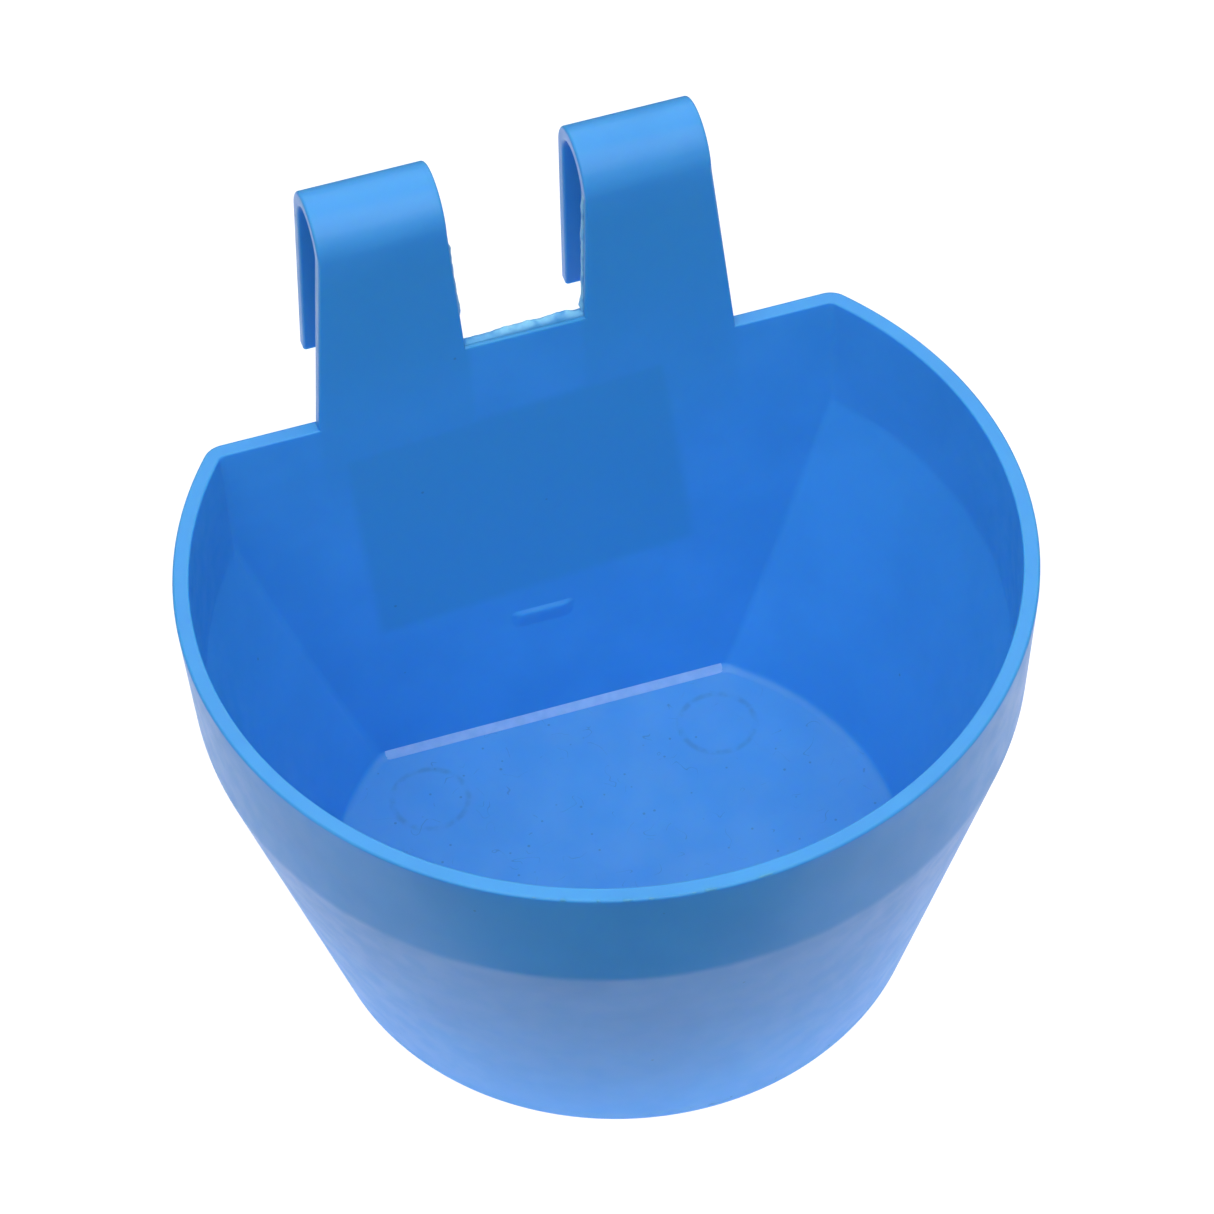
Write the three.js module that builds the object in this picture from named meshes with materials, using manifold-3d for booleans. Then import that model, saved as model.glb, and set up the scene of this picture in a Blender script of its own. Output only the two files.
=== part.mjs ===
// A D-shaped hook-on cup for feed or water in a small-animal cage.
// The cup and its two hooks are one plastic moulding, modelled here as its named regions:
// floor, round wall, collar, flat back wall, bridge, and a strap and a hook on each side.
// The blank label on the back is the one separate piece.
// Millimetres, +Z up. +X is to the right as seen from the round front, and +Y points to the cage.

import * as THREE from "three";
import { mergeVertices } from "three/addons/utils/BufferGeometryUtils.js";
import Module from "manifold-3d";

const wasm = await Module();
wasm.setup();

// Driving dimensions. Heights are measured from the rim's top plane, upwards.
const RIM_RADIUS = 62.5;        // inner radius of the round wall at the rim
const RIM_WALL = 2.55;          // wall thickness at the rim
const COLLAR_HEIGHT = 20.7;     // the steep band under the rim
const COLLAR_RADIUS = 61.4;     // inner radius at the collar's lower edge
const COLLAR_WALL = 2.2;        // wall thickness there
const FLOOR_DEPTH = 74.3;       // from the rim's top plane down to the inside floor
const FLOOR_RADIUS = 45.5;      // inner radius of the round wall at the floor
const FLOOR_SHIFT = 1.4;        // how far forward the floor's circle sits from the rim's
const FLOOR_THICKNESS = 2.5;
const BASE_RADIUS = 46.6;       // outer radius at the underside
const BACK_OFFSET = 38.7;       // from the rim's centre back to the flat wall's inner face
const BACK_THICKNESS = 2.5;
const BACK_LEAN = Math.atan(0.0684); // the flat wall leans outwards as it rises

const HOOK_THICKNESS = 2.4;
const HOOK_INNER = 10.8;        // half the gap between the two hooks
const HOOK_OUTER = 30.9;        // half the width over the two hooks
const BRIDGE_HEIGHT = 9.5;      // how far the bridge between the straps rises above the rim
const STRAP_LENGTH = 33.3;      // from the rim up the leaning face to where the bend starts
const STRAP_ROOT_INNER = 9.0;   // half the gap between the straps at the rim
const STRAP_ROOT_OUTER = 33.5;  // half the width over the straps at the rim
const BEND_RADIUS = 7.05;       // outer radius of the hook's bend
const LEG_TIP_HEIGHT = 1.2;     // where the rear leg ends, above the rim's plane
const LEG_FLARE = 1.1;          // how far the leg's tip stands back from the bend
const LEG_TIP_CUT = 0.6;        // how much shorter the leg is on its inner face

const LABEL_WIDTH = 50;
const LABEL_HEIGHT = 37;
const LABEL_THICKNESS = 0.2;
const LABEL_CENTRE_X = -1.3;
const LABEL_CENTRE_DEPTH = 27.5; // below the rim, along the flat wall
const LABEL_TILT = 4 * Math.PI / 180; // stuck on a little askew

const GAP = 0.3;                // clearance between neighbouring solids
const ROUND_SEGMENTS = 96;
const BEND_SEGMENTS = 20;
const BIG = 400;                // size of the cutting blocks

const UNDERSIDE = -FLOOR_DEPTH - FLOOR_THICKNESS;
const BEND_CENTRE_Y = BACK_OFFSET + STRAP_LENGTH * Math.sin(BACK_LEAN) + BEND_RADIUS * Math.cos(BACK_LEAN);
const BEND_CENTRE_Z = STRAP_LENGTH * Math.cos(BACK_LEAN) - BEND_RADIUS * Math.sin(BACK_LEAN);
const REAR_EXTENT = BEND_CENTRE_Y + BEND_RADIUS + LEG_FLARE;
const FRONT_EXTENT = RIM_RADIUS + RIM_WALL;

const plastic = new THREE.MeshStandardMaterial({ color: 0x3f8fe6, roughness: 0.4, metalness: 0 });
const paper = new THREE.MeshStandardMaterial({ color: 0xe9ecef, roughness: 0.7, metalness: 0 });

// ---- Between three.js geometry and manifold solids, for the cuts ----

function toSolid(geometry) {
  const bare = geometry.clone();
  bare.deleteAttribute("normal");
  bare.deleteAttribute("uv");
  const merged = mergeVertices(bare, 1e-4);
  const index = merged.index.array;
  const triangles = [];
  for (let i = 0; i < index.length; i += 3) {
    const [a, b, c] = [index[i], index[i + 1], index[i + 2]];
    if (a !== b && b !== c && c !== a) {
      triangles.push(a, b, c);
    }
  }
  return new wasm.Manifold(new wasm.Mesh({
    numProp: 3,
    vertProperties: Float32Array.from(merged.attributes.position.array),
    triVerts: Uint32Array.from(triangles),
  }));
}

function toGeometry(solid) {
  const mesh = solid.getMesh();
  const geometry = new THREE.BufferGeometry();
  geometry.setAttribute("position", new THREE.BufferAttribute(mesh.vertProperties, 3));
  geometry.setIndex(new THREE.BufferAttribute(mesh.triVerts, 1));
  geometry.computeVertexNormals();
  return geometry;
}

// ---- Blocks that cut the shell into its regions ----

// Everything between two heights.
function layer(low, high) {
  const block = new THREE.BoxGeometry(BIG, BIG, high - low);
  block.translate(0, 0, (low + high) / 2);
  return toSolid(block);
}

// Everything further back than the flat wall's inner face, moved back by some distance.
function behindBackFace(distance) {
  const block = new THREE.BoxGeometry(BIG, BIG, BIG);
  block.translate(0, BIG / 2 + distance, 0);
  block.rotateX(-BACK_LEAN);
  block.translate(0, BACK_OFFSET, 0);
  return toSolid(block);
}

// ---- The cup ----

// A solid of revolution whose lower part slides forward, as the floor's circle does.
function roundBody(profile) {
  const points = profile.map(([radius, height]) => new THREE.Vector2(radius, height));
  const body = new THREE.LatheGeometry(points, ROUND_SEGMENTS);
  body.rotateX(Math.PI / 2);
  const position = body.attributes.position;
  const slope = FLOOR_SHIFT / (FLOOR_DEPTH - COLLAR_HEIGHT);
  for (let i = 0; i < position.count; i++) {
    const below = Math.max(0, -COLLAR_HEIGHT - position.getZ(i));
    position.setY(i, position.getY(i) - slope * below);
  }
  return toSolid(body);
}

function cupShell() {
  const outside = roundBody([
    [0, UNDERSIDE],
    [BASE_RADIUS, UNDERSIDE],
    [COLLAR_RADIUS + COLLAR_WALL, -COLLAR_HEIGHT],
    [RIM_RADIUS + RIM_WALL, 0],
    [0, 0],
  ]);
  const inside = roundBody([
    [0, -FLOOR_DEPTH],
    [FLOOR_RADIUS, -FLOOR_DEPTH],
    [COLLAR_RADIUS, -COLLAR_HEIGHT],
    [RIM_RADIUS, 0],
    [RIM_RADIUS, 1],
    [0, 1],
  ]);
  const outsideD = outside.subtract(behindBackFace(BACK_THICKNESS));
  const insideD = inside.subtract(behindBackFace(0));
  return outsideD.subtract(insideD);
}

function cupRegions() {
  const shell = cupShell();
  const roundPart = shell.subtract(behindBackFace(-GAP));
  const aboveFloor = layer(-FLOOR_DEPTH + GAP, BIG);
  return {
    cup_floor: shell.intersect(layer(UNDERSIDE - 1, -FLOOR_DEPTH)),
    cup_wall: roundPart.intersect(layer(-FLOOR_DEPTH + GAP, -COLLAR_HEIGHT - GAP)),
    rim_collar: roundPart.intersect(layer(-COLLAR_HEIGHT, BIG)),
    back_wall: shell.intersect(behindBackFace(0)).intersect(aboveFloor),
  };
}

// ---- The hooks ----

// A plate on the flat wall's line: an outline of [x, height along the face] points, made thick backwards.
function leaningPlate(outline) {
  const shape = new THREE.Shape(outline.map(([x, height]) => new THREE.Vector2(x, height)));
  const plate = new THREE.ExtrudeGeometry(shape, { depth: HOOK_THICKNESS, bevelEnabled: false });
  plate.rotateX(Math.PI / 2);
  plate.translate(0, HOOK_THICKNESS, 0);
  return plate;
}

// Half the gap between the straps at some height along the face.
function strapInner(height) {
  return THREE.MathUtils.lerp(STRAP_ROOT_INNER, HOOK_INNER, height / STRAP_LENGTH);
}

function bridge() {
  const low = strapInner(GAP) - GAP;
  const high = strapInner(BRIDGE_HEIGHT) - GAP;
  return leaningPlate([[-low, GAP], [low, GAP], [high, BRIDGE_HEIGHT], [-high, BRIDGE_HEIGHT]]);
}

function strap(side) {
  const outline = [
    [side * strapInner(GAP), GAP],
    [side * STRAP_ROOT_OUTER, GAP],
    [side * HOOK_OUTER, STRAP_LENGTH - GAP],
    [side * HOOK_INNER, STRAP_LENGTH - GAP],
  ];
  return leaningPlate(outline);
}

// The bend over the cage wire and the rear leg, as a side outline made wide along X.
function hook(side) {
  const innerRadius = BEND_RADIUS - HOOK_THICKNESS;
  const outline = new THREE.Shape();
  const strapAngle = Math.PI - BACK_LEAN;
  const legAngle = Math.atan2(LEG_FLARE, BEND_CENTRE_Z - LEG_TIP_HEIGHT);
  outline.absarc(BEND_CENTRE_Y, BEND_CENTRE_Z, BEND_RADIUS, strapAngle, legAngle, true);
  outline.lineTo(REAR_EXTENT, LEG_TIP_HEIGHT);
  outline.lineTo(REAR_EXTENT - HOOK_THICKNESS, LEG_TIP_HEIGHT + LEG_TIP_CUT);
  outline.absarc(BEND_CENTRE_Y, BEND_CENTRE_Z, innerRadius, legAngle, strapAngle, false);
  const width = HOOK_OUTER - HOOK_INNER;
  const band = new THREE.ExtrudeGeometry(outline, {
    depth: width,
    bevelEnabled: false,
    curveSegments: BEND_SEGMENTS,
  });
  band.applyMatrix4(new THREE.Matrix4().makeBasis(
    new THREE.Vector3(0, 1, 0),
    new THREE.Vector3(0, 0, 1),
    new THREE.Vector3(1, 0, 0),
  ));
  band.translate(side > 0 ? HOOK_INNER : -HOOK_OUTER, 0, 0);
  return band;
}

// ---- The assembly ----

function addPiece(parent, name, geometry, material) {
  const mesh = new THREE.Mesh(geometry, material);
  mesh.name = name;
  parent.add(mesh);
  return mesh;
}

// The flat wall's inner face: x across, y backwards out of the cup, z up along the face.
function backFace() {
  const face = new THREE.Group();
  face.position.set(0, BACK_OFFSET, 0);
  face.rotation.x = -BACK_LEAN;
  addPiece(face, "hook_bridge", bridge(), plastic);
  addPiece(face, "left_strap", strap(-1), plastic);
  addPiece(face, "right_strap", strap(1), plastic);
  const sheet = new THREE.BoxGeometry(LABEL_WIDTH, LABEL_THICKNESS, LABEL_HEIGHT);
  const label = addPiece(face, "rear_label", sheet, paper);
  label.position.set(LABEL_CENTRE_X, BACK_THICKNESS + GAP + LABEL_THICKNESS / 2, -LABEL_CENTRE_DEPTH);
  label.rotation.y = -LABEL_TILT;
  return face;
}

// The whole cup, with the origin under the middle of its footprint.
const cup = new THREE.Group();
cup.position.set(0, (FRONT_EXTENT - REAR_EXTENT) / 2, -UNDERSIDE);
for (const [name, solid] of Object.entries(cupRegions())) {
  addPiece(cup, name, toGeometry(solid), plastic);
}
addPiece(cup, "left_hook", hook(-1), plastic);
addPiece(cup, "right_hook", hook(1), plastic);
cup.add(backFace());

const model = new THREE.Group();
model.add(cup);

export default model;
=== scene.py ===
"""Looks for a D-shaped hook-on cage cup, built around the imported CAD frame.

The nine plastic regions of the CAD model are one moulding on the real cup, so one continuous
moulded skin stands for them. The torn flash round the cut-out between the hooks, the small burrs
on the rim and the blank label on the back are pieces of their own. Shapes are worked out in
millimetres, in the frame's own axes, and become metres in new_object.
"""

import math

import bmesh
import bpy
from mathutils import Matrix, Vector, noise


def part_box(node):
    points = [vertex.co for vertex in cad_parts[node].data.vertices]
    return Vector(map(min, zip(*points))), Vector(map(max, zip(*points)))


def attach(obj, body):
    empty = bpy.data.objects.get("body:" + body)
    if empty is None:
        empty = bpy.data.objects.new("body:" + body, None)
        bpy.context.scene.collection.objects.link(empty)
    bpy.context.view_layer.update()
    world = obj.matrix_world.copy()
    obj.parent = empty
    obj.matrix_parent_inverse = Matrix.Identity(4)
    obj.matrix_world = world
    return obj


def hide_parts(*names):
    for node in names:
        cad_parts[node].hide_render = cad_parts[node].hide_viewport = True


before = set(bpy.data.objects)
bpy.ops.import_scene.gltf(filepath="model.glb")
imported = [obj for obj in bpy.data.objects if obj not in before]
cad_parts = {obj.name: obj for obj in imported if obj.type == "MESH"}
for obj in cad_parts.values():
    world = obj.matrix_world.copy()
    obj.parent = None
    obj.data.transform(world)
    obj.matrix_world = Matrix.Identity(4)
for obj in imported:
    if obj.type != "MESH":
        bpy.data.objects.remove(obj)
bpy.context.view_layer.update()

MM = 0.001


def box_mm(node):
    """A CAD node's lowest and highest corner, in millimetres."""
    low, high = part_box(node)
    return low / MM, high / MM


# ---- Sizes read from the frame, in millimetres ----

collar_low, collar_high = box_mm("rim_collar")
floor_low, floor_high = box_mm("cup_floor")
back_low, back_high = box_mm("back_wall")
strap_low, strap_high = box_mm("right_strap")
hook_low, hook_high = box_mm("right_hook")
label_low, label_high = box_mm("rear_label")

RIM_Z = collar_high.z
CREASE_Z = collar_low.z
FLOOR_Z = floor_high.z
BRIDGE_Z = box_mm("hook_bridge")[1].z   # the top of the bridge
LABEL_MIDDLE = (label_low + label_high) / 2
RIM_RADIUS = collar_high.x              # outer radius at the rim
CREASE_RADIUS = box_mm("cup_wall")[1].x  # outer radius at the crease under the collar
FLOOR_RADIUS = floor_high.x             # outer radius at the floor's height
RIM_CENTRE_Y = collar_low.y + RIM_RADIUS
FLOOR_CENTRE_Y = floor_low.y + FLOOR_RADIUS


# ---- Wall thicknesses and edge radii, in millimetres ----

RIM_WALL = 2.55                         # the round wall's thickness at the rim
CREASE_WALL = 2.2                       # at the crease
FLOOR_WALL = 1.86                       # and at the floor
BACK_WALL = 2.5
HOOK_THICKNESS = 2.4
INNER_CORNER = 1.6                      # where the round wall meets the flat back, inside
FLOOR_CORNER = 3.0                      # the same corner down at the floor
FLOOR_CORNER_HEIGHT = 8.0               # how far up the wall that bigger corner fades out
OUTER_CORNER = 3.6                      # the same corner outside
RIM_INNER_EDGE = 0.3                    # rounding of the rim's edges
RIM_OUTER_EDGE = 0.5
FLOOR_FILLET = 1.7                      # along the foot of the round wall
FLOOR_CHAMFER = 1.05                    # along the foot of the flat wall
BASE_EDGE = 1.6                         # rounding of the bottom edge, outside
CREASE_SOFTNESS = 0.9                   # half the height over which the crease bends
STRAP_EDGE = 0.5                        # rounding of the hooks' long edges

BACK_LEAN = math.atan((back_high.y - BACK_WALL - back_low.y) / (back_high.z - back_low.z))
BACK_FACE_Y = back_high.y - BACK_WALL   # the flat wall's inner face, at the rim
CONE_ANGLE = math.atan((CREASE_RADIUS - FLOOR_RADIUS) / (CREASE_Z - FLOOR_Z))


# ---- The hooks ----

HOOK_INNER = hook_low.x
HOOK_OUTER = hook_high.x
STRAP_ROOT_INNER = strap_low.x
STRAP_ROOT_OUTER = strap_high.x
BRIDGE_TOP = (BRIDGE_Z - RIM_Z) / math.cos(BACK_LEAN)    # measured up the leaning wall
STRAP_LENGTH = 33.3                     # from the rim to where the bend starts
ROOT_DEPTH = 6.0                        # how far the hooks and the bridge are sunk into the wall
ROOT_SINK = 0.05                        # how far their sunk ends lie behind the wall's face
PROUD = 0.008                           # how far they stand proud of it above, so that no seam shows
BEND_RADIUS = 7.05                      # the bend's outer radius
LEG_FLARE = 1.1                         # how far back the rear leg's tip stands from the bend
BEND_CENTRE_Y = hook_high.y - LEG_FLARE - BEND_RADIUS
BEND_CENTRE_Z = hook_high.z - BEND_RADIUS
LEG_TIP_Z = hook_low.z + 0.8            # the real tips are cut a little short
LEFT_SPLAY = 0.6                        # the left leg leans outwards by this much at its tip


# ---- Colours and finish ----

BLUE = (0.063, 0.368, 0.8)
PALE_BLUE = (0.11, 0.44, 0.8)           # thin torn plastic
WHITENED = (0.27, 0.66, 0.95)           # and where it was stretched white
# a paler blue, painted on the chamfer at the foot of the flat wall as its highlight
HIGHLIGHT_BLUE = (0.32, 0.56, 0.86)
DUST = (0.28, 0.52, 0.72)
GRIME = (0.035, 0.045, 0.05)
LABEL_PAPER = (0.78, 0.79, 0.77)
PAINTED_SHADOW = (0.88, 0.94, 0.9)              # how much darker the painted shadow of the label and the legs makes the flat wall
SPECULAR = 0.36
PLASTIC_ROUGHNESS = 0.32
GLOW_WEIGHT = 0.6
GLOW_RADIUS = (0.25, 0.9, 2.2)          # how far red, green and blue light spread in the plastic
GLOW_SCALE = 1.2                        # the length that these radii are counted in, in millimetres


# ---- Small tools ----

def lerp(a, b, t):
    return a + (b - a) * t


def span(count):
    """count evenly spaced values from 0 to 1, both ends included."""
    return [i / (count - 1) for i in range(count)]


def new_object(name, bm):
    """Closes off a bmesh in millimetres as an object in metres, with its faces pointing out."""
    bmesh.ops.recalc_face_normals(bm, faces=bm.faces)
    bmesh.ops.scale(bm, vec=(MM, MM, MM), verts=bm.verts)
    mesh = bpy.data.meshes.new(name)
    bm.to_mesh(mesh)
    bm.free()
    obj = bpy.data.objects.new(name, mesh)
    bpy.context.scene.collection.objects.link(obj)
    return obj


def loft(name, rings):
    """A closed solid through equal rings of points, with a flat face on each end."""
    bm = bmesh.new()
    made = [[bm.verts.new(p) for p in ring] for ring in rings]
    for lower, upper in zip(made, made[1:]):
        for i in range(len(lower)):
            j = (i + 1) % len(lower)
            bm.faces.new((lower[i], lower[j], upper[j], upper[i]))
    bm.faces.new(made[0])
    bm.faces.new(made[-1])
    return new_object(name, bm)


def apply_modifiers(obj):
    """Replaces the object's mesh by what its modifiers make of it."""
    depsgraph = bpy.context.evaluated_depsgraph_get()
    mesh = bpy.data.meshes.new_from_object(obj.evaluated_get(depsgraph))
    obj.modifiers.clear()
    obj.data = mesh


def combine(obj, other, operation):
    """Joins other to obj, or cuts it out of obj, and removes other."""
    modifier = obj.modifiers.new(operation.lower(), "BOOLEAN")
    modifier.operation = operation
    modifier.solver = "EXACT"
    modifier.object = other
    apply_modifiers(obj)
    bpy.data.objects.remove(other)


def smooth(obj, angle):
    """Smooth shading, with edges sharper than the angle kept and flat faces kept flat."""
    for polygon in obj.data.polygons:
        polygon.use_smooth = True
    obj.data.set_sharp_from_angle(angle=math.radians(angle))
    modifier = obj.modifiers.new("weighted normals", "WEIGHTED_NORMAL")
    modifier.keep_sharp = True
    modifier.weight = 80
    apply_modifiers(obj)


# ---- The cup's body: D-shaped rings at each height ----

ARC_STEPS = 96                          # along the round wall, each side
CORNER_STEPS = 9
BACK_STEPS = 12
CORNER_MARGIN = 1.9                     # the last bit of the straight back before each corner


def soft_bend(z, below, above):
    """A value that has one slope under the crease and another above it, with a soft bend between."""
    h = z - CREASE_Z
    s = CREASE_SOFTNESS
    if h <= -s:
        return below * h
    if h >= s:
        return above * h
    return below * h + (above - below) * (h + s) ** 2 / (4 * s)


def outer_radius(z):
    cone = math.tan(CONE_ANGLE)
    collar = (RIM_RADIUS - CREASE_RADIUS) / (RIM_Z - CREASE_Z)
    return CREASE_RADIUS + soft_bend(z, cone, collar)


def wall_thickness(z):
    if z > CREASE_Z:
        return lerp(CREASE_WALL, RIM_WALL, (z - CREASE_Z) / (RIM_Z - CREASE_Z))
    return lerp(FLOOR_WALL, CREASE_WALL, (z - FLOOR_Z) / (CREASE_Z - FLOOR_Z))


def inner_radius(z):
    return outer_radius(z) - wall_thickness(z)


def centre_y(z):
    """The floor's circle sits a little forward of the rim's."""
    slope = (RIM_CENTRE_Y - FLOOR_CENTRE_Y) / (CREASE_Z - FLOOR_Z)
    return RIM_CENTRE_Y + soft_bend(z, slope, 0)


def back_face_y(z):
    """The flat wall's inner face."""
    return BACK_FACE_Y - (RIM_Z - z) * math.tan(BACK_LEAN)


def d_ring(z, radius, middle_y, back_y, corner):
    """A D-shaped ring: straight across the back, a rounded corner each side, and round in front."""
    corner_y = back_y - corner
    corner_x = math.sqrt((radius - corner) ** 2 - (corner_y - middle_y) ** 2)
    tangent = math.atan2(corner_y - middle_y, corner_x)
    half = [(corner_x * t, back_y) for t in span(BACK_STEPS)[:-1]]
    half.append((corner_x - CORNER_MARGIN, back_y))
    for t in span(CORNER_STEPS)[:-1]:
        a = lerp(math.pi / 2, tangent, t)
        half.append((corner_x + corner * math.cos(a), corner_y + corner * math.sin(a)))
    for t in span(ARC_STEPS):
        a = lerp(tangent, -math.pi / 2, t)
        half.append((radius * math.cos(a), middle_y + radius * math.sin(a)))
    mirrored = [(-x, y) for x, y in reversed(half[1:-1])]
    return [Vector((x, y, z)) for x, y in half + mirrored]


def inner_ring(z, grow=0.0, cone_grow=0.0):
    corner = lerp(FLOOR_CORNER, INNER_CORNER, min(1, (z - FLOOR_Z) / FLOOR_CORNER_HEIGHT))
    return d_ring(
        z,
        inner_radius(z) + grow + cone_grow,
        centre_y(z),
        back_face_y(z) + grow,
        corner,
    )


def outer_ring(z, grow=0.0, cone_grow=0.0):
    return d_ring(
        z,
        outer_radius(z) + grow + cone_grow,
        centre_y(z),
        back_face_y(z) + BACK_WALL + grow,
        OUTER_CORNER,
    )


def fillet_inset(height, lean, radius):
    """How far a fillet of this radius stands in from a leaning wall, at a height above the floor."""
    reach = radius * math.tan((math.pi / 2 - lean) / 2)
    tangent_height = radius * (1 - math.sin(lean))
    if height >= tangent_height:
        return 0.0
    turn = math.acos(1 - height / radius)
    return reach - radius * math.sin(turn) + height * math.tan(lean)


def fillet_heights(radius, steps):
    """Heights above the floor, close together near it, up to where the fillet has ended."""
    return [radius * (1 - math.cos(math.radians(88) * t)) for t in span(steps)]


def base_rings():
    """Rings round the rounded bottom edge, outside."""
    rings = []
    for height in fillet_heights(BASE_EDGE, 9):
        back = fillet_inset(height, BACK_LEAN, BASE_EDGE)
        cone = fillet_inset(height, CONE_ANGLE, BASE_EDGE)
        rings.append(outer_ring(height, -back, back - cone))
    return rings


def floor_rings():
    """Rings from the inside floor up through the round wall's fillet and the flat wall's chamfer."""
    rings = []
    heights = fillet_heights(FLOOR_FILLET, 10) + [FLOOR_CHAMFER]
    for height in sorted(heights):
        back = max(0, FLOOR_CHAMFER - height)
        cone = fillet_inset(height, CONE_ANGLE, FLOOR_FILLET)
        rings.append(inner_ring(FLOOR_Z + height, -back, back - cone))
    return rings


def edge_rounding(ring, radius, sign, steps):
    """Rings up a rounded rim edge. sign is 1 where the edge turns outwards and -1 where it turns in."""
    rings = []
    for t in span(steps):
        a = t * math.pi / 2
        z = RIM_Z - radius + radius * math.sin(a)
        rings.append(ring(z, sign * radius * (1 - math.cos(a))))
    return rings


def cup_body():
    """The cup without its hooks, as one loft from the inside floor over the rim to the underside."""
    s = CREASE_SOFTNESS
    crease = [CREASE_Z + s * t for t in (-1, -0.6, -0.2, 0.2, 0.6, 1)]
    walls = [FLOOR_Z + 6, FLOOR_Z + 20, CREASE_Z - 16, CREASE_Z - 4] + crease
    walls += [CREASE_Z + 4, RIM_Z - 8, RIM_Z - 2]
    inside = floor_rings()
    inside += [inner_ring(z) for z in walls]
    inside += edge_rounding(inner_ring, RIM_INNER_EDGE, 1, 4)
    outside = base_rings()
    outside += [outer_ring(z) for z in walls]
    outside += edge_rounding(outer_ring, RIM_OUTER_EDGE, -1, 5)
    return loft("cup_moulding", inside + outside[::-1])


# ---- The hooks and the bridge between them ----

def strap_inner(height):
    return lerp(STRAP_ROOT_INNER, HOOK_INNER, min(height / STRAP_LENGTH, 1))


def strap_outer(height):
    return lerp(STRAP_ROOT_OUTER, HOOK_OUTER, min(height / STRAP_LENGTH, 1))


def lean_point(height, depth):
    """Y and Z of a point this far up the flat wall's inner face, and this far behind it."""
    y = BACK_FACE_Y + height * math.sin(BACK_LEAN) + depth * math.cos(BACK_LEAN)
    z = RIM_Z + height * math.cos(BACK_LEAN) - depth * math.sin(BACK_LEAN)
    return y, z


def hook_section(near, far, face, inwards, thickness):
    """A ring across the hook's band, with rounded edges. face is a point on its outer side."""
    ring = []
    r = STRAP_EDGE
    corners = [
        (near + r, r, math.pi),
        (near + r, thickness - r, math.pi / 2),
        (far - r, thickness - r, 0),
        (far - r, r, -math.pi / 2),
    ]
    for x, depth, start in corners:
        for t in span(5):
            a = start + math.pi / 2 * (1 - t)
            d = depth + r * math.sin(a)
            px = x + r * math.cos(a)
            ring.append(Vector((px, face[0] + inwards[0] * d, face[1] + inwards[1] * d)))
    return ring


STRAP_HEIGHTS = (-ROOT_DEPTH, -1, 0, 2, 8, 14, 20, 26, 30, STRAP_LENGTH)
BEND_STEPS = 28
LEG_STEPS = (0.3, 0.6, 0.85, 1)
LEG_TIP_CUT = 0.3                       # how far above LEG_TIP_Z the tip's outer corner is


def hook(side):
    """A strap, its bend and its rear leg, as one band with rounded edges."""
    rings = []
    for height in STRAP_HEIGHTS:
        depth = ROOT_SINK if height < -1 else -PROUD
        face = lean_point(height, depth)
        inwards = (math.cos(BACK_LEAN), -math.sin(BACK_LEAN))
        width = (strap_inner(height), strap_outer(height))
        rings.append(hook_section(*width, face, inwards, HOOK_THICKNESS - depth))
    leg_turn = math.atan2(LEG_FLARE, BEND_CENTRE_Z - LEG_TIP_Z)
    for t in span(BEND_STEPS)[1:]:
        a = lerp(math.pi - BACK_LEAN, leg_turn, t)
        out = (math.cos(a), math.sin(a))
        face = (BEND_CENTRE_Y + BEND_RADIUS * out[0], BEND_CENTRE_Z + BEND_RADIUS * out[1])
        inwards = (-out[0], -out[1])
        rings.append(hook_section(HOOK_INNER, HOOK_OUTER, face, inwards, HOOK_THICKNESS))
    top = face
    tip = (hook_high.y, LEG_TIP_Z + LEG_TIP_CUT)
    for t in LEG_STEPS:
        face = (lerp(top[0], tip[0], t), lerp(top[1], tip[1], t))
        splay = LEFT_SPLAY * t if side < 0 else 0
        width = (HOOK_INNER + splay, HOOK_OUTER + splay)
        rings.append(hook_section(*width, face, inwards, HOOK_THICKNESS))
    if side < 0:
        rings = [[Vector((-p.x, p.y, p.z)) for p in ring] for ring in rings]
    return loft("hook", rings)


def bridge():
    """The plate between the straps, sunk into both of them and into the rim.

    Its outline is given as heights above the rim and depths behind the flat wall's inner face.
    """
    rings = []
    reach = strap_inner(0) + 2
    for t in span(41):
        x = lerp(-reach, reach, t)
        top = BRIDGE_TOP + 0.05 * noise.noise(Vector((x * 0.5, 3.1, 0)))
        outline = [
            (-ROOT_DEPTH, ROOT_SINK),
            (-1, -PROUD / 2),
            (top - 0.5, -PROUD / 2),
            (top - 0.15, 0.15),
            (top, 0.5),
            (top, HOOK_THICKNESS - 0.3),
            (top - 0.3, HOOK_THICKNESS - 0.03),
            (-ROOT_DEPTH, HOOK_THICKNESS - 0.1),
        ]
        rings.append([Vector((x, *lean_point(height, depth))) for height, depth in outline])
    return loft("bridge", rings)


# ---- Details of the moulding ----

EJECTOR_X = 24.2                        # the ejector marks' place on each side
EJECTOR_Y = RIM_CENTRE_Y + 22.7
EJECTOR_RADIUS = 6.1
EJECTOR_GROOVE = 0.8                    # radius of the tool that cuts the ring
EJECTOR_LIFT = 0.74                     # how far that tool's centre stays above the floor
GATE_RADIUS = 5.0                       # the shallow dimple under the floor, round the gate
GATE_DEPTH = 0.5
NIB_LENGTH = 11.0
NIB_HEIGHT = 4.8                        # up along the wall
NIB_PROUD = 0.5
NIB_CREST = 0.78                        # where between its lower and upper edge it is highest
NIB_X = -0.6                            # its middle
NIB_BELOW_RIM = 51.7


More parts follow.
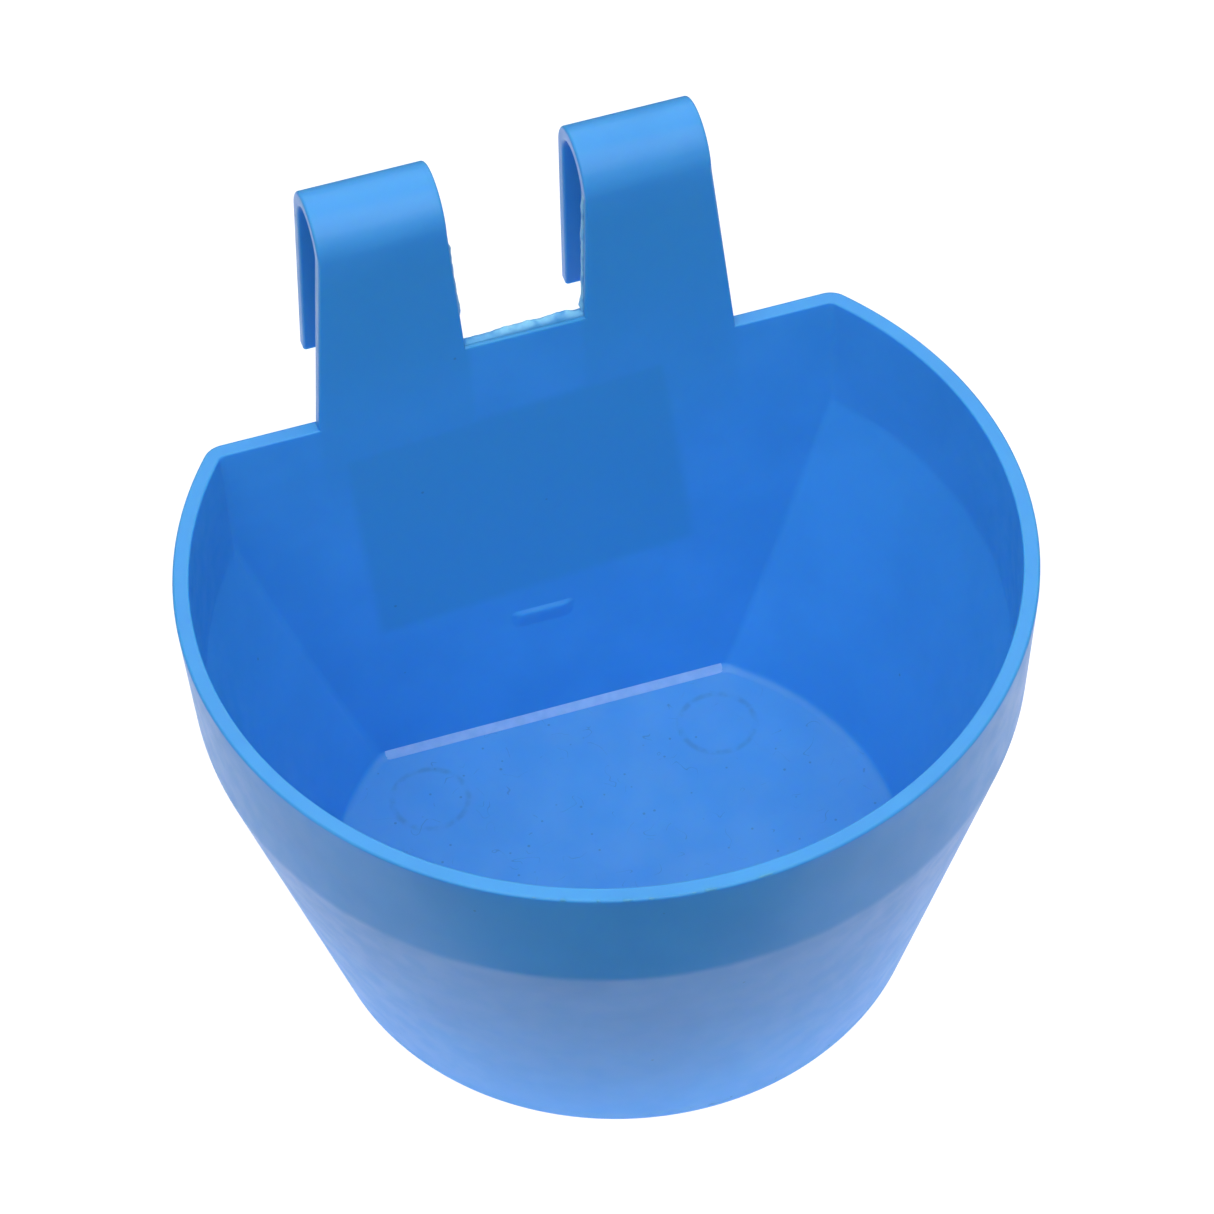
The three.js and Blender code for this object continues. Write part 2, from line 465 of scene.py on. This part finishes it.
def torus(name, centre, major, minor):
    """The cutter for a round groove."""
    bm = bmesh.new()
    rounds, turns = 72, 12
    grid = []
    for i in range(rounds):
        a = 2 * math.pi * i / rounds
        ring = []
        for j in range(turns):
            b = 2 * math.pi * j / turns
            r = major + minor * math.cos(b)
            point = Vector((r * math.cos(a), r * math.sin(a), minor * math.sin(b)))
            ring.append(bm.verts.new(centre + point))
        grid.append(ring)
    for i in range(rounds):
        for j in range(turns):
            k, m = (i + 1) % rounds, (j + 1) % turns
            bm.faces.new((grid[i][j], grid[k][j], grid[k][m], grid[i][m]))
    return new_object(name, bm)


def nib():
    """The low ridge on the flat wall's inner face, short above its crest and long and soft below it."""
    root = 0.05
    low = -NIB_BELOW_RIM - NIB_HEIGHT / 2
    high = -NIB_BELOW_RIM + NIB_HEIGHT / 2
    rings = []
    for t in span(33):
        x = NIB_X + lerp(-NIB_LENGTH / 2, NIB_LENGTH / 2, t)
        end = min(1.0, 2.6 * (1 - abs(2 * t - 1)))
        size = NIB_PROUD * math.sin(end * math.pi / 2) ** 2
        ring = []
        for across in span(28):
            swell = min(rise(across, 0, NIB_CREST), rise(across, 1, NIB_CREST))
            point = lean_point(lerp(low, high, across), root - (size + root) * swell)
            ring.append(Vector((x, *point)))
        for up in (high, low):
            ring.append(Vector((x, *lean_point(up, BACK_WALL / 2))))
        rings.append(ring)
    return loft("nib", rings)


def gate():
    """The cutter for the shallow dimple that holds the moulding's gate mark."""
    turns = [2 * math.pi * t for t in span(65)[:-1]]
    steps = (
        (-1, GATE_RADIUS + 0.3),
        (0, GATE_RADIUS + 0.3),
        (0.3, GATE_RADIUS),
        (GATE_DEPTH, GATE_RADIUS - 0.5),
    )
    rings = []
    for z, radius in steps:
        ring = []
        for a in turns:
            ring.append(Vector((radius * math.cos(a), FLOOR_CENTRE_Y + radius * math.sin(a), z)))
        rings.append(ring)
    return loft("gate", rings)


def cup_moulding():
    """The whole moulding as one continuous skin."""
    body = cup_body()
    for side in (-1, 1):
        combine(body, hook(side), "UNION")
    combine(body, bridge(), "UNION")
    combine(body, nib(), "UNION")
    for side in (-1, 1):
        centre = Vector((side * EJECTOR_X, EJECTOR_Y, FLOOR_Z + EJECTOR_LIFT))
        combine(body, torus("ejector_mark", centre, EJECTOR_RADIUS, EJECTOR_GROOVE), "DIFFERENCE")
    combine(body, gate(), "DIFFERENCE")
    smooth(body, 38)
    return body


# ---- Torn flash ----

# Half of a torn strip's section, as shares of its thickness and of how far it stands out.
# Shares below 0 lie inside the plastic that it grew from.
FLASH_SECTION = ((-0.5, -0.25), (-0.5, 0.55), (-0.16, 1))
FLASH_ROOT = 0.35                       # how deep it reaches into that plastic
BRIDGE_FLASH_DEPTH = 1.4                # behind the flat wall's inner face
STRAP_FLASH_DEPTH = 1.3
LEFT_TORN = (15.5, 31.0)                # the torn stretch of each strap, as heights above the rim
RIGHT_TORN = (10.4, STRAP_LENGTH)


def ragged(place, seed, tear):
    """How far the torn edge stands proud at a place along it, from 0 to 1."""
    coarse = noise.noise(Vector((place * 0.3, seed, 0)))
    fine = noise.noise(Vector((place * 1.1, seed, 4.7)))
    return max(0.0, min(1.0, 0.7 + 0.5 * coarse + tear * fine))


def flash(name, start, end, out, across, reach, thickness, seed, envelope):
    """A thin torn strip from start to end, standing out along one direction and thick along another."""
    rings = []
    length = (end - start).length
    mirrored = tuple((-side, share) for side, share in reversed(FLASH_SECTION))
    for t in span(90):
        place = start.lerp(end, t)
        stand = reach * envelope(t) * ragged(length * t, seed, 0.18)
        sway = 0.12 * noise.noise(Vector((length * t * 1.3, seed, 9.1)))
        ring = []
        for side, share in FLASH_SECTION + mirrored:
            above = max(0, share)
            wide = thickness * side * (1 - 0.35 * above) + sway * above
            high = stand * share if share > 0 else -FLASH_ROOT
            ring.append(place + across * wide + out * high)
        rings.append(ring)
    return loft(name, rings)


def rise(t, begin, full):
    """0 until begin, then smoothly up to 1 at full. Works downwards too, when full is below begin."""
    s = max(0.0, min(1.0, (t - begin) / (full - begin)))
    return s * s * (3 - 2 * s)


def bridge_flash():
    """The torn strip along the rear of the bridge's top edge, broken away near its left end."""
    up = Vector((0, math.sin(BACK_LEAN), math.cos(BACK_LEAN)))
    back = Vector((0, math.cos(BACK_LEAN), -math.sin(BACK_LEAN)))
    inner = strap_inner(BRIDGE_TOP)
    start = Vector((-inner - 0.2, *lean_point(BRIDGE_TOP, BRIDGE_FLASH_DEPTH)))
    end = Vector((inner + 0.2, *lean_point(BRIDGE_TOP, BRIDGE_FLASH_DEPTH)))

    def envelope(t):
        return 0.35 * rise(t, 0.0, 0.04) + 0.65 * rise(t, 0.24, 0.36)

    return flash(
        "bridge_flash", start, end, up, back, reach=1.3, thickness=1.8, seed=2.3, envelope=envelope
    )


def strap_flash(side):
    """The torn strip up the inner edge of a strap."""
    low, high = LEFT_TORN if side < 0 else RIGHT_TORN
    inwards = Vector((-side, 0, 0))
    back = Vector((0, math.cos(BACK_LEAN), -math.sin(BACK_LEAN)))
    start = Vector((side * strap_inner(low), *lean_point(low, STRAP_FLASH_DEPTH)))
    end = Vector((side * strap_inner(high), *lean_point(high, STRAP_FLASH_DEPTH)))

    def envelope(t):
        lump = 1.3 * rise(t, 0.14, 0.03) if side > 0 else 0
        return min(rise(t, 0.0, 0.05), rise(t, 1.0, 0.9)) + lump

    name = "left_strap_flash" if side < 0 else "right_strap_flash"
    return flash(
        name, start, end, inwards, back, reach=0.42, thickness=1.1, seed=5.9 + side, envelope=envelope
    )


BURR_START = math.radians(-118)         # where round the rim the burrs start and end
BURR_END = math.radians(-84)
# Distances from the rim's outer radius and heights from its top.
BURR_SECTION = ((-0.75, -0.1), (-0.12, 0.18), (-0.02, 0), (-0.03, -0.45), (-0.5, -0.6))


def rim_burrs():
    """The small burrs along the front of the rim's outer edge, sunk into the rim between them."""
    rings = []
    for t in span(200):
        turn = lerp(BURR_START, BURR_END, t)
        proud = max(0.0, noise.noise(Vector((t * 31, 7.7, 0))) - 0.15) * 0.5
        proud *= min(rise(t, 0, 0.05), rise(t, 1, 0.9))
        sunk = 1 - min(1, proud * 6)
        ring = []
        for out, height in BURR_SECTION:
            lift = max(0.0, height) * proud * 3
            radius = RIM_RADIUS - 0.03 - sunk * 0.22 + out * 0.9
            z = RIM_Z - 0.02 - 0.16 * sunk + min(0, height) + lift
            ring.append(Vector((radius * math.cos(turn), RIM_CENTRE_Y + radius * math.sin(turn), z)))
        rings.append(ring)
    return loft("rim_burrs", rings)


def paint_chamfer_highlight(body):
    """Gives the chamfer's flat faces the second material, a painted highlight, up to just short of the
    corners.
    """
    top = (FLOOR_Z + 2 * FLOOR_CHAMFER) * MM
    sloping = [
        face
        for face in body.data.polygons
        if face.normal.y < -0.6 and face.normal.z > 0.6 and face.center.z < top
    ]
    reach = max(abs(face.center.x) for face in sloping)
    for face in sloping:
        if abs(face.center.x) < reach - CORNER_MARGIN * MM:
            face.material_index = 1


# ---- The label ----

LABEL_WIDTH = 50.0
LABEL_HEIGHT = 37.0
LABEL_TILT = math.radians(4.6)
LABEL_CORNER = 2.5
LABEL_FILM = 0.16                       # its thickness
LABEL_GAP = 0.02                        # between it and the wall


def rear_label():
    """A blank film label with rounded corners, stuck on the flat wall a little askew."""
    height = (LABEL_MIDDLE.z - RIM_Z) / math.cos(BACK_LEAN)
    outline = []
    for sx, sy, start in ((1, 1, 0), (-1, 1, 90), (-1, -1, 180), (1, -1, 270)):
        for t in span(7):
            a = math.radians(start + 90 * t)
            u = sx * (LABEL_WIDTH / 2 - LABEL_CORNER) + LABEL_CORNER * math.cos(a)
            v = sy * (LABEL_HEIGHT / 2 - LABEL_CORNER) + LABEL_CORNER * math.sin(a)
            outline.append((u, v))
    rings = []
    for depth in (BACK_WALL + LABEL_GAP, BACK_WALL + LABEL_GAP + LABEL_FILM):
        ring = []
        for u, v in outline:
            x = LABEL_MIDDLE.x + u * math.cos(LABEL_TILT) - v * math.sin(LABEL_TILT)
            up = height + u * math.sin(LABEL_TILT) + v * math.cos(LABEL_TILT)
            ring.append(Vector((x, *lean_point(up, depth))))
        rings.append(ring)
    return loft("blank_label", rings)


# ---- Materials ----

def material(name, colour, roughness):
    """A new material and its shader, with an even colour and roughness to start from."""
    made = bpy.data.materials.new(name)
    made.use_nodes = True
    shader = made.node_tree.nodes["Principled BSDF"]
    shader.inputs["Base Color"].default_value = (*colour, 1)
    shader.inputs["Roughness"].default_value = roughness
    shader.inputs["Specular IOR Level"].default_value = SPECULAR
    return made, shader


def feed(tree, socket, value):
    """Links a socket to a value that comes from another node, or sets it to a plain number."""
    if isinstance(value, bpy.types.NodeSocket):
        tree.links.new(value, socket)
    else:
        socket.default_value = value


def maths(tree, operation, *values):
    """One step of arithmetic on values that are plain numbers or come from other nodes."""
    node = tree.nodes.new("ShaderNodeMath")
    node.operation = operation
    for socket, value in zip(node.inputs, values):
        feed(tree, socket, value)
    return node.outputs[0]


def ramp(tree, value, start, end, low=0.0, high=1.0):
    """A smooth step from low to high as the value goes from start to end."""
    node = tree.nodes.new("ShaderNodeMapRange")
    node.interpolation_type = "SMOOTHSTEP"
    for socket, number in zip(node.inputs, (value, start, end, low, high)):
        feed(tree, socket, number)
    return node.outputs[0]


def grain(tree, place, scale, detail=2.0, distortion=0.0):
    """Noise around 0.5. The scale counts features per millimetre."""
    node = tree.nodes.new("ShaderNodeTexNoise")
    feed(tree, node.inputs["Vector"], place)
    feed(tree, node.inputs["Scale"], scale)
    feed(tree, node.inputs["Detail"], detail)
    feed(tree, node.inputs["Distortion"], distortion)
    return node.outputs["Fac"]


def product(tree, first, *others):
    """Several masks multiplied together."""
    for other in others:
        first = maths(tree, "MULTIPLY", first, other)
    return first


def split(tree, vector):
    """A vector's three parts."""
    node = tree.nodes.new("ShaderNodeSeparateXYZ")
    feed(tree, node.inputs[0], vector)
    return tuple(node.outputs)


def specks(tree, place, scale, size, share):
    """1 in scattered dots, 0 elsewhere. Size is in cells, and share is the part of cells with a dot."""
    cells = tree.nodes.new("ShaderNodeTexVoronoi")
    feed(tree, cells.inputs["Vector"], place)
    feed(tree, cells.inputs["Scale"], scale)
    dot = ramp(tree, cells.outputs["Distance"], size, size * 0.5)
    chosen = maths(tree, "LESS_THAN", split(tree, cells.outputs["Color"])[0], share)
    return product(tree, dot, chosen)


def hairs(tree, place, scale, share):
    """1 along short thin curly lines, 0 elsewhere."""
    line = grain(tree, place, scale, 1.0, 0.6)
    apart = maths(tree, "ABSOLUTE", maths(tree, "SUBTRACT", line, 0.5))
    thin = ramp(tree, apart, 0.006, 0.002)
    patch = ramp(tree, grain(tree, place, scale * 1.7, 0.0), share, share + 0.03)
    return product(tree, thin, patch)


def millimetres(tree):
    """Where a point of the surface is, in millimetres."""
    where = tree.nodes.new("ShaderNodeTexCoord")
    scaled = tree.nodes.new("ShaderNodeVectorMath")
    scaled.operation = "SCALE"
    feed(tree, scaled.inputs[0], where.outputs["Object"])
    feed(tree, scaled.inputs["Scale"], 1 / MM)
    return scaled.outputs[0]


def blend(tree, amount, under, over):
    """A colour between two colours."""
    node = tree.nodes.new("ShaderNodeMix")
    node.data_type = "RGBA"
    feed(tree, node.inputs["Factor"], amount)
    for socket, colour in ((node.inputs[6], under), (node.inputs[7], over)):
        feed(tree, socket, colour if isinstance(colour, bpy.types.NodeSocket) else (*colour, 1))
    return node.outputs[2]


def bump(tree, height, depth, under=None):
    """A bump this many millimetres deep, on top of another one."""
    node = tree.nodes.new("ShaderNodeBump")
    feed(tree, node.inputs["Height"], height)
    feed(tree, node.inputs["Distance"], depth * MM)
    if under:
        feed(tree, node.inputs["Normal"], under)
    return node.outputs["Normal"]


def shade(colour, factors):
    """A colour with its red, green and blue each multiplied by a factor."""
    return tuple(c * f for c, f in zip(colour, factors))


def glow(shader, radius):
    """Lets light spread inside the plastic."""
    shader.inputs["Subsurface Weight"].default_value = GLOW_WEIGHT
    shader.inputs["Subsurface Radius"].default_value = radius
    shader.inputs["Subsurface Scale"].default_value = GLOW_SCALE * MM


SHADOW_SHIFT = Vector((-1.3, 0, 2.5))   # from the label's middle to its shadow's on the inner face
SHADOW_SPREAD = 1.0                     # how far the shadow reaches past the label's edges
SHADOW_BLUR = 1.2                       # half the width of its soft edge


def label_shadow(tree, x, z):
    """1 over the label's shadow on the flat wall."""
    middle = LABEL_MIDDLE + SHADOW_SHIFT
    half_width = LABEL_WIDTH / 2 + SHADOW_SPREAD
    half_height = LABEL_HEIGHT / 2 + SHADOW_SPREAD
    along = maths(tree, "SUBTRACT", x, middle.x)
    up = maths(tree, "SUBTRACT", z, middle.z)
    c = math.cos(LABEL_TILT)
    s = math.sin(LABEL_TILT)
    u = maths(tree, "ADD", maths(tree, "MULTIPLY", along, c), maths(tree, "MULTIPLY", up, s))
    v = maths(tree, "SUBTRACT", maths(tree, "MULTIPLY", up, c), maths(tree, "MULTIPLY", along, s))
    wide = ramp(tree, maths(tree, "ABSOLUTE", u), half_width + SHADOW_BLUR, half_width - SHADOW_BLUR)
    high = ramp(tree, maths(tree, "ABSOLUTE", v), half_height + SHADOW_BLUR, half_height - SHADOW_BLUR)
    return product(tree, wide, high)


def leg_shadow(tree, x, z):
    """Up to 0.85 along the straps and just under them, where a hook's leg hangs close behind."""
    side = maths(tree, "ABSOLUTE", x)
    near = ramp(tree, side, STRAP_ROOT_INNER - 0.8, STRAP_ROOT_INNER + 0.8)
    far = ramp(tree, side, STRAP_ROOT_OUTER + 1.5, STRAP_ROOT_OUTER - 1.5)
    below = ramp(tree, z, RIM_Z - 22, RIM_Z - 6)
    above = ramp(tree, z, RIM_Z - 3, RIM_Z + 14, 0.45, 0.85)
    crest = ramp(tree, z, hook_high.z - 3, hook_high.z - 14)
    return product(tree, near, far, below, above, crest)


def painted_shadow_zone(tree, x, y, z):
    """Up to 1 over the painted shadow that the label and the hooks' legs, close behind the flat wall,
    cast through it.
    """
    lean = maths(tree, "MULTIPLY", maths(tree, "SUBTRACT", z, RIM_Z), math.tan(BACK_LEAN))
    depth = maths(tree, "SUBTRACT", maths(tree, "SUBTRACT", y, BACK_FACE_Y), lean)
    on_wall = ramp(tree, depth, -0.6, -0.2)
    shadow = maths(tree, "MAXIMUM", label_shadow(tree, x, z), leg_shadow(tree, x, z))
    return product(tree, shadow, on_wall)


def ejector_dirt(tree, place, x, y):
    """1 along the grimy rings round the ejector marks, at any height."""
    dx = maths(tree, "SUBTRACT", maths(tree, "ABSOLUTE", x), EJECTOR_X)
    dy = maths(tree, "SUBTRACT", y, EJECTOR_Y)
    squares = maths(tree, "ADD", maths(tree, "POWER", dx, 2), maths(tree, "POWER", dy, 2))
    radius = maths(tree, "SQRT", squares)
    apart = maths(tree, "ABSOLUTE", maths(tree, "SUBTRACT", radius, EJECTOR_RADIUS))
    ring = ramp(tree, apart, 0.8, 0.1)
    patchy = ramp(tree, grain(tree, place, 0.45), 0.35, 0.65, 0.1, 1)
    return product(tree, ring, patchy)


def floor_mask(tree, z):
    """1 at the inside floor's height, and 0 higher up the walls and down at the underside."""
    below_walls = ramp(tree, z, FLOOR_Z + 0.9, FLOOR_Z + 0.3)
    above_base = ramp(tree, z, FLOOR_Z - 1.3, FLOOR_Z - 0.5)
    return product(tree, below_walls, above_base)


def soiling(tree, place, x, y, on_floor):
    """How much grime covers the plastic: a few dots everywhere, and more with fibres on the floor."""
    dots = specks(tree, place, scale=0.16, size=0.05, share=0.22)
    floor_dots = specks(tree, place, scale=0.45, size=0.13, share=0.3)
    threads = hairs(tree, place, scale=0.2, share=0.58)
    rings = ejector_dirt(tree, place, x, y)
    dirt = product(tree, dots, 0.3)
    for soil, strength in ((floor_dots, 0.3), (threads, 0.22), (rings, 0.17)):
        dirt = maths(tree, "MAXIMUM", dirt, product(tree, soil, on_floor, strength))
    return dirt


def blue_plastic():
    """Glossy blue polypropylene, faintly mottled, with a dusty floor, painted shadows on the flat wall
    and light spreading inside it.
    """
    made, shader = material("blue_plastic", BLUE, PLASTIC_ROUGHNESS)
    tree = made.node_tree
    place = millimetres(tree)
    x, y, z = split(tree, place)
    mottle = ramp(tree, grain(tree, place, 0.07, 3.0), 0.35, 0.65)
    colour = blend(tree, mottle, shade(BLUE, (0.95, 0.97, 0.98)), shade(BLUE, (1.04, 1.03, 1.02)))
    # painted shadow of the label and the hooks' legs on the flat wall
    colour = blend(tree, painted_shadow_zone(tree, x, y, z), colour, shade(BLUE, PAINTED_SHADOW))
    on_floor = floor_mask(tree, z)
    cloud = ramp(tree, grain(tree, place, 0.15, 4.0), 0.3, 0.7, 0.14, 0.24)
    colour = blend(tree, product(tree, cloud, on_floor), colour, DUST)
    dirt = soiling(tree, place, x, y, on_floor)
    feed(tree, shader.inputs["Base Color"], blend(tree, dirt, colour, GRIME))
    smoothest = PLASTIC_ROUGHNESS - 0.03
    dullest = PLASTIC_ROUGHNESS + 0.05
    gloss = ramp(tree, grain(tree, place, 0.25, 3.0), 0.3, 0.7, smoothest, dullest)
    dusty = maths(tree, "ADD", product(tree, on_floor, 0.12), product(tree, dirt, 0.3))
    feed(tree, shader.inputs["Roughness"], maths(tree, "ADD", gloss, dusty))
    normal = bump(tree, grain(tree, place, 0.1, 1.0), 0.1)
    feed(tree, shader.inputs["Normal"], bump(tree, grain(tree, place, 1.5, 2.0), 0.006, normal))
    glow(shader, GLOW_RADIUS)
    return made


def painted_chamfer_highlight():
    """A painted highlight: paler, patchy blue on the chamfer at the foot of the flat wall."""
    made, shader = material("painted_chamfer_highlight", HIGHLIGHT_BLUE, 0.42)
    tree = made.node_tree
    place = millimetres(tree)
    highlight_patches = ramp(tree, grain(tree, place, 0.5, 4.0), 0.3, 0.7)
    colour = blend(tree, highlight_patches, shade(HIGHLIGHT_BLUE, (0.8, 0.9, 0.95)), HIGHLIGHT_BLUE)
    feed(tree, shader.inputs["Base Color"], colour)
    feed(tree, shader.inputs["Normal"], bump(tree, grain(tree, place, 1.6, 3.0), 0.03))
    glow(shader, GLOW_RADIUS)
    return made


def torn_plastic():
    """Thin stretched plastic, whitened where it tore and stands above the bridge."""
    made, shader = material("torn_plastic", PALE_BLUE, 0.5)
    tree = made.node_tree
    place = millimetres(tree)
    z = split(tree, place)[2]
    patchy = ramp(tree, grain(tree, place, 0.35, 2.0), 0.3, 0.6)
    high = ramp(tree, z, BRIDGE_Z, BRIDGE_Z + 0.8, 0.15, 1)
    white = product(tree, patchy, high)
    colour = blend(tree, white, shade(PALE_BLUE, (0.7, 0.85, 0.95)), WHITENED)
    feed(tree, shader.inputs["Base Color"], colour)
    feed(tree, shader.inputs["Normal"], bump(tree, grain(tree, place, 2.0, 2.0), 0.03))
    glow(shader, (1.0, 1.0, 1.0))
    return made


def label_film():
    """Blank satin paper, a little soiled, with a faint fibre."""
    made, shader = material("label_film", LABEL_PAPER, 0.55)
    tree = made.node_tree
    place = millimetres(tree)
    soil = ramp(tree, grain(tree, place, 0.08, 4.0), 0.4, 0.75)
    colour = blend(tree, soil, LABEL_PAPER, shade(LABEL_PAPER, (0.93, 0.92, 0.88)))
    dots = specks(tree, place, scale=0.6, size=0.09, share=0.1)
    feed(tree, shader.inputs["Base Color"], blend(tree, product(tree, dots, 0.5), colour, GRIME))
    normal = bump(tree, grain(tree, place, 0.1, 1.0), 0.25)
    feed(tree, shader.inputs["Normal"], bump(tree, grain(tree, place, 4.0, 4.0), 0.02, normal))
    return made


# ---- The finished pieces ----

def finish_piece(piece, made, slot, *nodes):
    """Gives a piece its material, hangs it on the root body and hides the CAD nodes that it stands for.
    """
    piece.data.materials.clear()
    piece.data.materials.append(made)
    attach(piece, "root")
    if nodes:
        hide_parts(*nodes)


PLASTIC_NODES = (
    "cup_floor",
    "cup_wall",
    "rim_collar",
    "back_wall",
    "hook_bridge",
    "left_strap",
    "right_strap",
    "left_hook",
    "right_hook",
)

moulding = cup_moulding()
finish_piece(moulding, blue_plastic(), "blue_plastic", *PLASTIC_NODES)
# the chamfer at the foot of the flat wall gets a painted highlight
moulding.data.materials.append(painted_chamfer_highlight())
paint_chamfer_highlight(moulding)
torn = torn_plastic()
for piece in (bridge_flash(), strap_flash(-1), strap_flash(1), rim_burrs()):
    smooth(piece, 50)
    finish_piece(piece, torn, "blue_plastic")
finish_piece(rear_label(), label_film(), "blank_label", "rear_label")


# ---- Floor, lights and camera ----

FLOOR_SIDE = 3000                       # half the floor's side, in millimetres
FLOOR_DROP = 0.0002                     # how far it lies under the cup, in metres
FLOOR_PAINT = 0.3
FLOOR_GLOW = 0.85                       # it glows for the camera only

BOUNCE = 0.6                            # radiance of the pale surface round the foot
BOUNCE_TINT = (0.93, 0.95, 1.22)
BOUNCE_SIDE = 220                       # how far it reaches to the sides, in millimetres
BOUNCE_NEAR = -79                       # and towards the camera, where it ends close to the cup
BOUNCE_FAR = 220                        # and away from it

SKY = 0.3                               # radiance of the even pale room
GROUND = 0.1                            # and of its lower half
ROOM_TINT = (0.92, 0.97, 1.12)

KEY = 1.95                              # radiance of the soft box above the camera
KEY_PLACE = (-0.18, -0.5, 1.16)         # in metres, as the other lights and the camera are
KEY_SIZE = 1.5
BACK = 1.05                             # radiance of the dimmer one behind
BACK_PLACE = (0.27, 0.9, 1.2)
BACK_SIZE = 1.5

CAMERA_AZIMUTH = math.radians(16.05)    # round to the left from straight in front
CAMERA_ELEVATION = math.radians(49.46)
CAMERA_ROLL = math.radians(-2.24)
CAMERA_DISTANCE = 0.97967
CAMERA_TARGET = Vector((-0.0016, -0.0008, RIM_Z * MM - 0.0047))
CAMERA_LENS = 193.96                    # in millimetres, as the sensor's width is
CAMERA_SENSOR = 36
CAMERA_AHEAD = Vector((math.sin(CAMERA_AZIMUTH), math.cos(CAMERA_AZIMUTH), 0))
CAMERA_RIGHT = Vector((CAMERA_AHEAD.y, -CAMERA_AHEAD.x, 0))


def glowing(name, paint, tint, radiance):
    """A dull material that also shines evenly."""
    made, shader = material(name, (paint, paint, paint), 0.9)
    shader.inputs["Emission Color"].default_value = (*tint, 1)
    shader.inputs["Emission Strength"].default_value = radiance
    return made


def floor():
    """A plain pale floor that throws no light on the cup."""
    bm = bmesh.new()
    bmesh.ops.create_grid(bm, x_segments=1, y_segments=1, size=FLOOR_SIDE)
    made = new_object("floor", bm)
    made.location.z = -FLOOR_DROP
    made.data.materials.append(glowing("floor", FLOOR_PAINT, (1, 1, 1), FLOOR_GLOW))
    made.visible_diffuse = False
    made.visible_glossy = False


def bounce_sheet():
    """The pale surface round the foot, as the light that it throws back up. It ends just in front."""
    bm = bmesh.new()
    right = CAMERA_RIGHT * BOUNCE_SIDE
    near = CAMERA_AHEAD * BOUNCE_NEAR
    far = CAMERA_AHEAD * BOUNCE_FAR
    bm.faces.new([bm.verts.new(p) for p in (near - right, near + right, far + right, far - right)])
    sheet = new_object("bounce_sheet", bm)
    sheet.data.materials.append(glowing("bounce", 0.5, BOUNCE_TINT, BOUNCE))
    sheet.visible_camera = False
    sheet.visible_shadow = False


def soft_light(name, place, size, radiance):
    """A square soft box aimed at the cup's foot. Radiance sets how bright it looks, whatever its size."""
    data = bpy.data.lights.new(name, "AREA")
    data.shape = "SQUARE"
    data.size = size
    data.energy = radiance * math.pi * size * size
    light = bpy.data.objects.new(name, data)
    bpy.context.scene.collection.objects.link(light)
    light.location = place
    light.rotation_euler = (-Vector(place)).to_track_quat("-Z", "Y").to_euler()


def surroundings():
    """An even pale room, darker below the horizon."""
    world = bpy.data.worlds.new("studio")
    bpy.context.scene.world = world
    world.use_nodes = True
    tree = world.node_tree
    background = tree.nodes["Background"]
    background.inputs["Color"].default_value = (*ROOM_TINT, 1)
    where = tree.nodes.new("ShaderNodeTexCoord")
    height = split(tree, where.outputs["Generated"])[2]
    feed(tree, background.inputs["Strength"], ramp(tree, height, -0.15, 0.05, GROUND, SKY))


def camera():
    """Seen from the front left and well above, through a long lens."""
    forward = CAMERA_AHEAD * math.cos(CAMERA_ELEVATION) - Vector((0, 0, math.sin(CAMERA_ELEVATION)))
    up = CAMERA_RIGHT.cross(forward)
    c = math.cos(CAMERA_ROLL)
    s = math.sin(CAMERA_ROLL)
    data = bpy.data.cameras.new("camera")
    data.lens = CAMERA_LENS
    data.sensor_width = CAMERA_SENSOR
    made = bpy.data.objects.new("camera", data)
    bpy.context.scene.collection.objects.link(made)
    axes = Matrix((CAMERA_RIGHT * c + up * s, up * c - CAMERA_RIGHT * s, -forward)).transposed()
    made.matrix_world = Matrix.Translation(CAMERA_TARGET - forward * CAMERA_DISTANCE) @ axes.to_4x4()
    bpy.context.scene.camera = made


floor()
bounce_sheet()
soft_light("back", BACK_PLACE, BACK_SIZE, BACK)
soft_light("key", KEY_PLACE, KEY_SIZE, KEY)
surroundings()
camera()
bpy.context.scene.view_settings.view_transform = "Standard"
